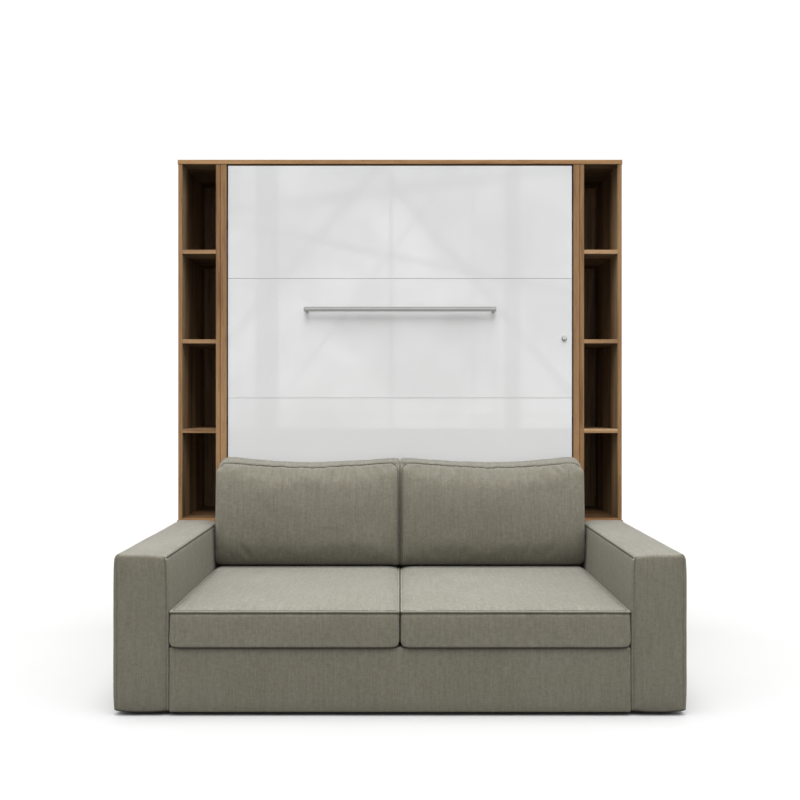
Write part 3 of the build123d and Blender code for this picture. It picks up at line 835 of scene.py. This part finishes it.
# ---------------------------------------------------------------------------
# seat cushions: flat box cushions with a piped front and side edge
# ---------------------------------------------------------------------------
def seat_cushion(side):
    sx = -1 if side == "left" else 1
    lo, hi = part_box(side + "_seat_cushion")
    x_in, x_out = 0.0026, 0.8062
    hu, hv = (x_out - x_in) / 2, (hi[1] - lo[1]) / 2 - 0.0012
    z_seam = 0.3584                    # middle of the groove under the piping
    T = z_seam - lo[2]
    pad = Pad(hu, hv, T, 0.013, 0.0, 0.006, 0.0125, 0.0115, fine_t=(0.0, 0.003, 0.0065, 0.011),
              fine=(0.0, 0.20, 0.48, 1.0))
    P, U, V = pad.P, pad.U, pad.V
    u, v, t = pad.lat[:, 0], pad.lat[:, 1], pad.lat[:, 2]
    n2 = pad.n2
    top = t < 1e-9
    s = -U * sx
    # the lower long edges are round
    r = 0.024
    a, b = (r - (hu - np.abs(P[:, 0]))) / r, (r - (T + P[:, 2])) / r
    m = (a > 0) & (b > 0)
    k = np.maximum(a, b) / np.maximum(np.hypot(a, b), 1e-9)
    P[m, 0] = (np.sign(P[:, 0]) * (hu - r + a * k * r))[m]
    P[m, 2] = (-(T - r + b * k * r))[m]
    # top panel: rolls up from the seam, then rises gently to the back
    near = np.minimum(hu - np.abs(u), hv + v)
    back_rise = 0.0080 * np.clip((V + 1) / 0.60, 0, 1) ** 0.85
    # under the back cushion it is fuller up to the arm
    kb = np.where(s < 0, 0.5, 0.0) * np.clip((v - hv + 0.29) / 0.13, 0, 1)
    h = (0.0085 * (1 - np.exp(-near / (0.0075 - 0.0030 * kb))) + 0.0070 * (1 - np.exp(-near / (0.034 - 0.022 * kb)))) * rise(hv - v, 0.012, 0.06)
    full_in = 0.35 + 0.65 * rise(hu - np.abs(u), 0.03, 0.15)
    full_back = rise(hu - np.abs(u), 0.007, 0.030)
    h += back_rise * rise(hv - v, 0.02, 0.08) * (full_in + kb * (full_back - full_in))
    P[:, 2] += np.where(top, h, 0.0)
    # boxing stands proud between its seams, most in the middle of the height
    mid = np.sin(np.pi * np.clip(t / T, 0, 1)) ** 0.6
    rim = np.clip(1 - pad.e / 0.03, 0, 1)
    face = (1 - np.exp(-t / 0.009)) * (0.0012 + 0.0052 * t / T)      # the front leans out a little to its foot
    out = np.where(n2[:, 1] < -0.5, face, 0.0011 * mid)
    P[:, :2] += n2 * (rim * out)[:, None]
    seed = 21 if side == "left" else 33
    for i in range(len(P)):
        if top[i]:
            k = min(1.0, pad.e[i] / 0.04)
            P[i, 2] += k * (0.0016 * n3((u[i], v[i], 0), 4.5, seed) + 0.0007 * n3((u[i], v[i], 0), 12.0, seed))
            P[i, 2] += 0.0008 * n1((u[i] + v[i]) * 24.0, seed) * math.exp(-pad.e[i] / 0.02)
        elif n2[i, 1] < -0.5:
            P[i, 1] += 0.0010 * n3((u[i], 0, t[i]), 9.0, seed + 3) * min(1.0, t[i] / 0.02)
    cx, cy = sx * (x_in + x_out) / 2, (lo[1] + hi[1]) / 2
    world = pad.world((cx, cy, z_seam), (1, 0, 0), (0, 1, 0), (0, 0, 1))
    ob = add_mesh(side + "_seat_upholstery", world, pad.faces, M["linen"])
    held = {i: 1.0 for i in pad.front_ring}
    for i in np.nonzero((t > T - 0.03) | (v > hv - 0.02))[0]:
        held[int(i)] = 1.0
    soft = np.where(top, 1.0, 0.35) * np.where(v > hv - 0.17, 0.25, 1.0)
    simulate(ob, held, 1.2, 0.02, 0.0022, bend=0.4, allow=soft)
    c = coords(ob)
    low = gauss(np.where(top, 9.0, t - 0.0005), 0.0042)
    nrm = np.stack([n2[:, 0], n2[:, 1], np.zeros(len(P))], 1)
    rim0 = np.clip(1 - pad.e / 0.002, 0, 1)
    c += nrm * (-0.0035 * low * rim0)[:, None]
    c[:, 2] = np.minimum(c[:, 2], 0.3830)
    under = (c[:, 1] > Y0 - 0.182)
    c[under, 2] = np.minimum(c[under, 2], 0.3800)
    c[:, 0] = sx * np.clip(np.abs(c[:, 0]), 0.0012, 0.8073)
    set_coords(ob, c)
    # piping round the top panel
    r = 0.0046
    ring = c[pad.front_ring].copy()
    ring = ring + nrm[pad.front_ring] * 0.0018
    ring[:, 2] = z_seam + 0.0052
    ring = relax(resample(ring, 0.006), 2)
    ring[:, 0] = sx * np.clip(np.abs(ring[:, 0]), 0.0014 + r, 0.8076 - r)
    ring[:, 1] = np.clip(ring[:, 1], lo[1] + r - 0.0010, hi[1] - r)
    for i in range(len(ring)):
        ring[i, 2] += 0.0006 * n1(ring[i, 0] * 9.0 + ring[i, 1] * 7.0, seed)
    v2, f2 = tube(ring, r, seg=12)
    pipe = add_mesh(side + "_seat_piping", v2, f2, M["linen"])
    # the stitches behind the piping, along the front, in a darker copy of the linen: painted shade of the crease there
    y_f = ring[:, 1].min() + 0.0078
    line = [(sx * x, y_f + 0.0010 * math.exp(-(x - 0.012) / 0.01) + 0.0010 * math.exp(-(0.794 - x) / 0.01),
             z_seam + 0.0080 + 0.0004 * n1(x * 9.0, seed)) for x in np.linspace(0.012, 0.794, 150)]
    v3, f3 = tube(line, 0.0018, closed=False, seg=8)
    thread = add_mesh(side + "_seat_stitch", v3, f3, M["stitch"])
    subdivide(ob)
    return ob, pipe, thread


# ---------------------------------------------------------------------------
# arms: padded blocks, tight over their boards
# ---------------------------------------------------------------------------
def arm(side):
    sx = -1 if side == "left" else 1
    lo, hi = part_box("arm_%s_cover" % side)
    hu, hv = (hi[0] - lo[0]) / 2, (hi[2] - lo[2]) / 2
    T = hi[1] - lo[1] - 0.004
    pad = Pad(hu, hv, T, 0.014, 0.009, 0.004, 0.012, 0.020, fine_t=(0.0, 0.0020, 0.0045, 0.0072, 0.010, 0.014, 0.022),
              fine=(0.0, 0.12, 0.26, 0.42, 0.60, 0.80, 1.0), R_low=0.010)
    P, U, V = pad.P, pad.U, pad.V
    u, v, t = pad.lat[:, 0], pad.lat[:, 1], pad.lat[:, 2]
    n2 = pad.n2
    rim = np.clip(1 - pad.e / 0.05, 0, 1)
    top = np.clip(n2[:, 1], 0, 1) * rim
    bot = np.clip(-n2[:, 1], 0, 1) * rim
    s = U * sx                          # +1 on the outside
    P[:, 1] += top * (0.0062 - 0.0112 * np.clip(-s, 0, 1) ** 2.4 + 0.0004 * np.clip(s, 0, 1) ** 3)
    P[:, 1] += bot * (0.0070 * np.abs(U) ** 2.6 + 0.0004)
    P[:, 2] += np.where(t < 1e-9, 0.0046 * rise(pad.e, 0.02, 0.09), 0.0) - 0.0006 * np.clip(1 - t / 0.05, 0, 1)
    sid = np.abs(n2[:, 0]) * rim
    lean = np.where(s > 0, 0.0048, 0.0) * (1 - np.abs(V) ** 8) * np.clip(t / 0.006, 0, 1) * np.clip((T - t) / 0.2, 0, 1)
    P[:, 0] += np.sign(U) * sid * lean
    seed = 41 if side == "left" else 57
    for i in range(len(P)):
        k = 0.0011 * n3((u[i], v[i], t[i]), 4.0, seed) + 0.0005 * n3((u[i], v[i], t[i]), 11.0, seed)
        if s[i] > 0:
            P[i, 0] += k * np.sign(u[i]) * abs(n2[i, 0])
        P[i, 1] += k * max(0.0, n2[i, 1])
        if t[i] < 1e-9:
            P[i, 2] += k
    # seams: down the front next to both long edges
    du_in = np.abs(P[:, 0] + sx * (hu - 0.0105))
    P[:, 2] -= np.where(t < 1e-9, 0.0062 * gauss(du_in, 0.0042), 0.0)
    du_out = np.abs(P[:, 0] - sx * (hu - 0.0100))
    P[:, 2] -= np.where(t < 1e-9, 0.0050 * gauss(du_out, 0.0042), 0.0)
    # the top inner edge is pulled in along its seam
    dt = np.hypot(P[:, 0] + sx * (hu - 0.002), P[:, 1] - (hv - 0.007))
    g = gauss(dt, 0.0050)
    P[:, 1] -= 0.0018 * g
    P[:, 0] += sx * 0.0018 * g
    # the inner side rolls back towards the top
    back = 0.0090 * np.exp(-(hv - np.clip(P[:, 1], -hv, hv)) / 0.050)
    P[:, 0] += sx * back * np.clip(1 - (P[:, 0] * sx + hu) / 0.06, 0, 1) ** 1.5
    cx, cz = (lo[0] + hi[0]) / 2, (lo[2] + hi[2]) / 2
    world = pad.world((cx, lo[1] + 0.0036, cz), (1, 0, 0), (0, 0, 1), (0, -1, 0))
    x_in = abs(lo[0] if sx > 0 else hi[0]) + 0.0002
    world[:, 0] = sx * np.maximum(np.abs(world[:, 0]), x_in)
    ob = add_mesh("arm_%s_upholstery" % side, world, pad.faces, M["linen"])
    subdivide(ob)
    # stitched seam along that edge, laid on the finished cover
    pts = []
    for j, y in enumerate(np.linspace(lo[1] + 0.010, hi[1] - 0.004, 160)):
        sink = 0.0050 * math.exp(-j / 1.2)
        pts.append((sx * (x_in + 0.0104 + sink + 0.0003 * n1(y * 20, seed)), y, hi[2] - 0.0072 - sink + 0.0004 * n1(y * 9, seed + 2)))
    # the seam tube is a darker copy of the linen: painted shade along the seam
    v2, f2 = tube(pts, 0.0024, closed=False, seg=8)
    pipe = add_mesh("arm_%s_seam" % side, v2, f2, M["seam"])
    # and the two seams down the front panel
    fronts = []
    for k, inner in enumerate((True, False)):
        pts = []
        for z in np.linspace(lo[2] + 0.010, hi[2] - 0.003, 90):
            roll = 0.0090 * math.exp(-(hi[2] - z) / 0.050) * (1 - 0.0105 / 0.06) ** 1.5
            x = (x_in + 0.0103 + roll) if inner else (abs(hi[0] if sx > 0 else lo[0]) - 0.0100)
            pts.append((sx * (x + 0.0003 * n1(z * 14.0, seed + 5 + k)), lo[1] + (0.0080 if inner else 0.0072), z))
        # thin tubes in a darker copy of the linen: painted shade in the front seams
        v3, f3 = tube(pts, 0.0012, closed=False, seg=6)
        fronts.append(add_mesh("arm_%s_front_seam_%d" % (side, k + 1), v3, f3, M["thread"]))
    return ob, [pipe] + fronts


def skirt():
    lo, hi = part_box("front_skirt")
    hu, hv = (hi[0] - lo[0]) / 2 - 0.0008, (hi[2] - lo[2]) / 2
    T = hi[1] - lo[1] - 0.002
    pad = Pad(hu, hv, T, 0.006, 0.004, 0.002, 0.016, 0.006, fine=(0.0, 0.3, 0.6, 1.0))
    P, U, V = pad.P, pad.U, pad.V
    fall = np.clip(1 - pad.t / 0.018, 0, 1)
    P[:, 2] += fall * 0.0024 * rise(pad.e, 0.012, 0.06) - 0.0004
    for i in range(len(P)):
        if pad.t[i] < 1e-9:
            P[i, 2] += 0.0008 * n3((P[i, 0], P[i, 1], 0), 3.0, 61) + 0.0004 * n3((P[i, 0], P[i, 1], 0), 11.0, 62)
    cx, cz = (lo[0] + hi[0]) / 2, (lo[2] + hi[2]) / 2
    P[:, 2] += fall * 0.0042 * (0.5 - 0.5 * V)
    world = pad.world((cx, lo[1] - 0.0015, cz), (1, 0, 0), (0, 0, 1), (0, -1, 0))
    return add_mesh("front_skirt_upholstery", world, pad.faces, M["linen"])


# ---------------------------------------------------------------------------
# mattress: quilted in diamonds, taped edges
# ---------------------------------------------------------------------------
def mattress():
    lo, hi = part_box("mattress")
    hu, hv = (hi[0] - lo[0]) / 2 - 0.001, (hi[2] - lo[2]) / 2 - 0.001
    T = hi[1] - lo[1] - 0.008
    pad = Pad(hu, hv, T, 0.060, 0.010, 0.010, 0.0165, 0.016, fine=(0.0, 0.12, 0.28, 0.5, 0.75, 1.0))
    P, U, V = pad.P, pad.U, pad.V
    u, v, t = pad.lat[:, 0], pad.lat[:, 1], pad.lat[:, 2]
    a = (u + v) / 0.132 * math.pi / 2
    b = (u - v) / 0.132 * math.pi / 2
    q = np.minimum(np.abs(np.sin(a)), np.abs(np.sin(b))) ** 0.55
    edge = np.clip(pad.e / 0.03, 0, 1)
    P[:, 2] += np.where(t < 1e-9, edge * (0.0085 * q - 0.0045), 0.0)
    P[:, 2] -= np.where(t > T - 1e-9, edge * (0.0012 * q), 0.0)
    n2 = pad.n2
    rim = np.clip(1 - pad.e / 0.02, 0, 1)
    P[:, :2] -= n2 * (rim * (0.0035 - 0.0035 * np.sin(np.pi * t / T) ** 0.6))[:, None]
    # stitched lines round the border
    for tt in (T * 0.33, T * 0.66):
        P[:, :2] -= n2 * (rim * 0.0018 * gauss(t - tt, 0.006))[:, None]
    cx, cz = (lo[0] + hi[0]) / 2, (lo[2] + hi[2]) / 2
    world = pad.world((cx, hi[1] - 0.005, cz), (-1, 0, 0), (0, 0, 1), (0, 1, 0))
    world[:, 1] = np.minimum(world[:, 1], hi[1] + 0.0006)
    ob = add_mesh("mattress_quilted", world, pad.faces, M["ticking"])
    rings = []
    for k, ring in enumerate((pad.front_ring, pad.back_ring)):
        v2, f2 = tube(relax(resample(world[ring], 0.012), 1), 0.0042)
        rings.append(add_mesh("mattress_tape_%d" % (k + 1), v2, f2, M["ticking"]))
    subdivide(ob)
    return ob, rings


for side in ("left", "right"):
    ob, pipe = back_cushion(side)
    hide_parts(side + "_back_cushion")
    for o in (ob, pipe):
        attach(o, side + "_back")
    ob, pipe, thread = seat_cushion(side)
    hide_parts(side + "_seat_cushion")
    for o in (ob, pipe, thread):
        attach(o, side + "_seat")
    ob, seams = arm(side)
    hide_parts("arm_%s_cover" % side)
    for o in [ob] + seams:
        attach(o, "cabinet")
ob = skirt()
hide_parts("front_skirt")
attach(ob, "cabinet")
ob, rings = mattress()
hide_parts("mattress")
for o in [ob] + rings:
    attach(o, "bed")
for sl in nodes["mattress_straps"].material_slots:
    sl.material = M["webbing"]

# ---------------------------------------------------------------------------
# stage
# ---------------------------------------------------------------------------
floor_g = Graph("studio_floor")
fn = floor_g.noise(floor_g.mapped((1, 1, 1)), 1.5, 2.0, 0.5)
floor_g.color(floor_g.ramp(fn, [(0.3, (0.354, 0.354, 0.354)), (0.7, (0.360, 0.360, 0.360))]))
floor_g.set("Roughness", 0.6)
floor_g.set("Specular IOR Level", 0.2)
# pale to look at, but sending only a part of that light back on the furniture
fl_seen = floor_g.n("ShaderNodeLightPath")
fl_dark = floor_g.n("ShaderNodeBsdfDiffuse")
# and least next to the sofa, like a dark card laid in front of it
fx_, fy_, fz_ = floor_g.xyz()
away_y = floor_g.smooth(fy_, Y0 - 1.28, Y0 - 1.02, 1.0, 0.0)
away_x = floor_g.smooth(floor_g.math("ABSOLUTE", fx_), 1.10, 1.34)
away = floor_g.math("MAXIMUM", away_y, away_x)
back_light = floor_g.mix(away, (0.035, 0.035, 0.035), (0.155, 0.155, 0.155))
far = floor_g.smooth(fy_, Y0 - 7.5, Y0 - 4.5, 1.0, 0.0)
floor_g.link(floor_g.mix(far, back_light, (0.02, 0.02, 0.02)), fl_dark.inputs["Color"])
fl_mix = floor_g.n("ShaderNodeMixShader")
floor_g.link(fl_seen.outputs["Is Camera Ray"], fl_mix.inputs[0])
floor_g.link(fl_dark.outputs[0], fl_mix.inputs[1])
floor_g.link(floor_g.bsdf.outputs[0], fl_mix.inputs[2])
floor_g.link(fl_mix.outputs[0], floor_g.out.inputs["Surface"])
S = 30.0
floor = add_mesh("studio_floor", [(-S, -S, 0), (S, -S, 0), (S, S, 0), (-S, S, 0)], [(0, 1, 2, 3)], floor_g.mat)

world = bpy.data.worlds.new("studio")
world.use_nodes = True
wt = world.node_tree
wt.nodes.clear()
wo = wt.nodes.new("ShaderNodeOutputWorld")
bg = wt.nodes.new("ShaderNodeBackground")          # what lights the object
bg.inputs["Color"].default_value = (1.0, 1.0, 1.0, 1.0)
# soft uneven light from in front, seen only as a faint play of light in the gloss
wc = wt.nodes.new("ShaderNodeTexCoord")
sep = wt.nodes.new("ShaderNodeSeparateXYZ")
wt.links.new(wc.outputs["Generated"], sep.inputs[0])


def wmath(op, a, b):
    m = wt.nodes.new("ShaderNodeMath")
    m.operation = op
    for i, v in enumerate((a, b)):
        if isinstance(v, (int, float)):
            m.inputs[i].default_value = v
        else:
            wt.links.new(v, m.inputs[i])
    return m.outputs[0]


depth = wmath("MAXIMUM", wmath("MULTIPLY", sep.outputs[1], -1.0), 0.15)
plane = wt.nodes.new("ShaderNodeCombineXYZ")
wt.links.new(wmath("DIVIDE", sep.outputs[0], depth), plane.inputs[0])
wt.links.new(wmath("DIVIDE", sep.outputs[2], depth), plane.inputs[1])
u_, v_ = wmath("DIVIDE", sep.outputs[0], depth), wmath("DIVIDE", sep.outputs[2], depth)


def step(value, lo, hi, a, b):
    m = wt.nodes.new("ShaderNodeMapRange")
    m.interpolation_type = "SMOOTHSTEP"
    for k, w in (("From Min", lo), ("From Max", hi), ("To Min", a), ("To Max", b)):
        m.inputs[k].default_value = w
    wt.links.new(value, m.inputs["Value"])
    return m.outputs[0]


def bar(nx, nz, c, half, soft, dark):
    """A soft straight bar in the lit plane behind the camera: dark times the light."""
    d = wmath("ABSOLUTE", wmath("SUBTRACT", wmath("ADD", wmath("MULTIPLY", u_, nx), wmath("MULTIPLY", v_, nz)), c), 0.0)
    return step(d, half, half + soft, dark, 1.0)


cloud = wt.nodes.new("ShaderNodeTexNoise")
cloud.inputs["Scale"].default_value = 9.0
cloud.inputs["Detail"].default_value = 6.0
cloud.inputs["Roughness"].default_value = 0.66
wt.links.new(plane.outputs[0], cloud.inputs["Vector"])
light = step(cloud.outputs["Fac"], 0.37, 0.63, 0.62, 1.45)
for b_ in ((1.0, 0.0, -0.150, 0.011, 0.004, 0.38), (1.0, 0.0, 0.127, 0.007, 0.004, 0.45),
           (1.0, 0.0, -0.010, 0.0014, 0.0018, 0.50), (1.0, 0.0, 0.083, 0.0010, 0.0018, 0.68),
           (0.76, -0.65, -0.190, 0.004, 0.003, 0.58), (0.76, 0.65, 0.152, 0.004, 0.003, 0.58),
           (0.80, -0.60, -0.108, 0.0016, 0.0018, 0.66), (0.20, 0.98, 0.158, 0.003, 0.003, 0.62),
           (-0.12, 0.99, 0.235, 0.005, 0.004, 0.60), (0.0, 1.0, -0.018, 0.0016, 0.0018, 0.72)):
    light = wmath("MULTIPLY", light, bar(*b_))
disc = wmath("SQRT", wmath("ADD", wmath("POWER", wmath("ADD", u_, 0.035), 2.0), wmath("POWER", wmath("SUBTRACT", v_, 0.125), 2.0)), 0.0)
light = wmath("MULTIPLY", light, step(disc, 0.084, 0.092, 1.25, 1.0))
light = wmath("MULTIPLY", light, step(v_, -0.070, -0.008, 0.15, 1.0))
ahead = wmath("GREATER_THAN", wmath("MULTIPLY", sep.outputs[1], -1.0), 0.15)
play = wmath("ADD", 1.0, wmath("MULTIPLY", ahead, wmath("SUBTRACT", light, 1.0)))
wt.links.new(wmath("MULTIPLY", play, 0.66), bg.inputs["Strength"])
plate = wt.nodes.new("ShaderNodeBackground")       # the plain white backdrop
plate.inputs["Color"].default_value = (1.0, 1.0, 1.0, 1.0)
plate.inputs["Strength"].default_value = 1.05
path = wt.nodes.new("ShaderNodeLightPath")
both = wt.nodes.new("ShaderNodeMixShader")
wt.links.new(path.outputs["Is Camera Ray"], both.inputs[0])
wt.links.new(bg.outputs[0], both.inputs[1])
wt.links.new(plate.outputs[0], both.inputs[2])
wt.links.new(both.outputs[0], wo.inputs["Surface"])
scene.world = world


def sun(name, strength, angle, direction):
    d = bpy.data.lights.new(name, "SUN")
    d.energy = strength
    d.angle = math.radians(angle)
    o = bpy.data.objects.new(name, d)
    o.visible_glossy = False           # no hard sun glints, as under a softbox
    v = Vector(direction)
    o.rotation_euler = v.to_track_quat("-Z", "Y").to_euler()
    scene.collection.objects.link(o)
    return o


sun("overhead", 3.40, 36.0, (0.0, 0.06, -1.0))
sun("key", 2.50, 40.0, (0.0, 0.53, -0.85))
sun("side_left", 1.55, 60.0, (0.70, 0.10, -0.70))
sun("side_right", 1.55, 60.0, (-0.70, 0.10, -0.70))

# ---------------------------------------------------------------------------
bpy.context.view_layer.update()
